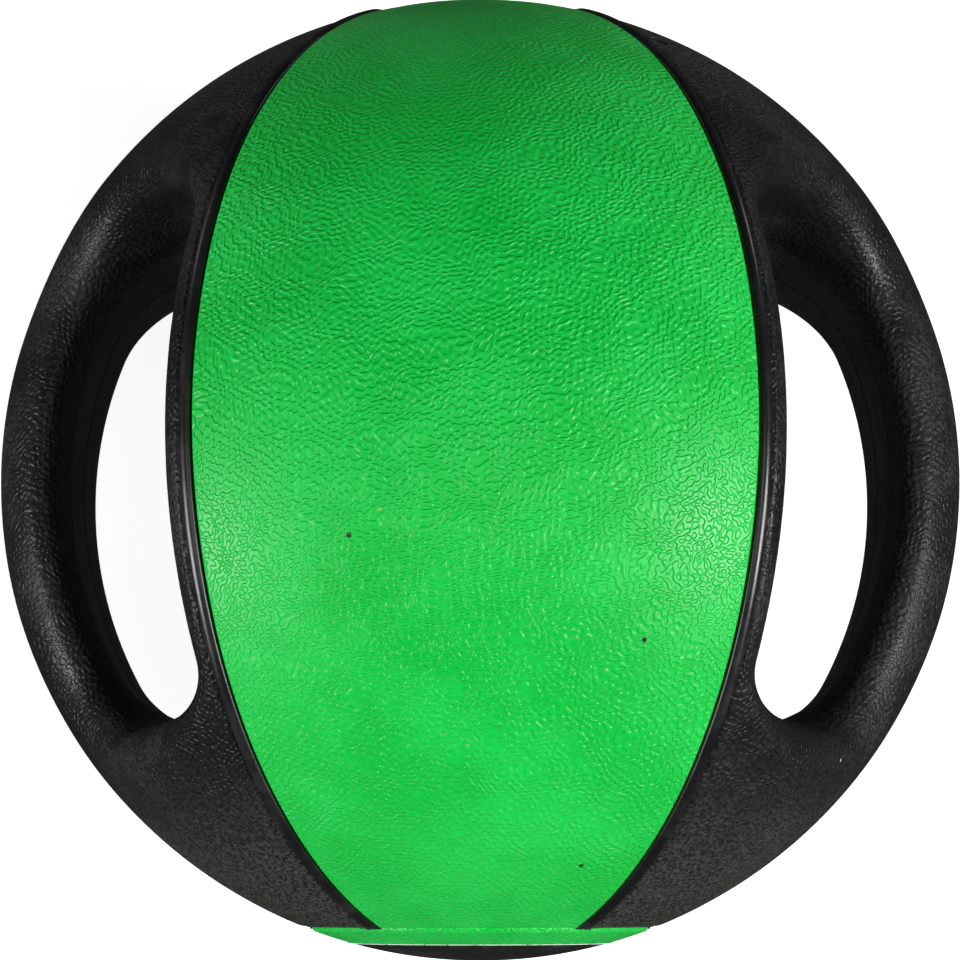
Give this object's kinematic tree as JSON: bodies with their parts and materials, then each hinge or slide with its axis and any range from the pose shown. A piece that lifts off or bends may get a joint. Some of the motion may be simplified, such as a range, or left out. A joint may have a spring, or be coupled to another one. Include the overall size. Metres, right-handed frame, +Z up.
{
  "type": "dual-grip medicine ball",
  "caption": "Round rubber medicine ball with green panels, black covers and a moulded grip on each side, over a finger slot that goes right through.",
  "frame": {"origin": "centre of the ball, which is the centre of its bounding box", "axes": "+Z up through the upper coloured panel, +X out through the right grip, -Y out through the front end disc and badge"},
  "size_m": [0.28, 0.28, 0.28],
  "materials": {
    "panel_rubber": "green rubber with a fine moulded wrinkle, satin",
    "cover_rubber": "black rubber with a fine moulded wrinkle, satin, dusty where it wears",
    "bead_rubber": "smooth black rubber, semi-gloss",
    "core_plastic": "moulded stiff plastic",
    "badge_rubber": "black rubber, matt, no lettering",
    "ring_print": "white printed line",
    "carcass_rubber": "filled grey rubber",
    "bladder_rubber": "butyl rubber, matt",
    "valve_rubber": "black rubber"
  },
  "bodies": {
    "root": {"upper_panel": "panel_rubber", "lower_panel": "panel_rubber", "left_cover_upper": "cover_rubber", "left_cover_lower": "cover_rubber", "right_cover_upper": "cover_rubber", "right_cover_lower": "cover_rubber", "left_grip_upper": "cover_rubber", "left_grip_lower": "cover_rubber", "right_grip_upper": "cover_rubber", "right_grip_lower": "cover_rubber", "upper_left_bead": "bead_rubber", "upper_right_bead": "bead_rubber", "lower_left_bead": "bead_rubber", "lower_right_bead": "bead_rubber", "left_grip_core": "core_plastic", "right_grip_core": "core_plastic", "front_end_disc": "panel_rubber", "rear_end_disc": "panel_rubber", "front_badge": "badge_rubber", "rear_badge": "badge_rubber", "front_badge_ring": "ring_print", "rear_badge_ring": "ring_print", "upper_carcass": "carcass_rubber", "lower_carcass": "carcass_rubber", "bladder": "bladder_rubber", "valve_seat": "bladder_rubber", "valve_insert": "valve_rubber"}
  },
  "joints": []
}
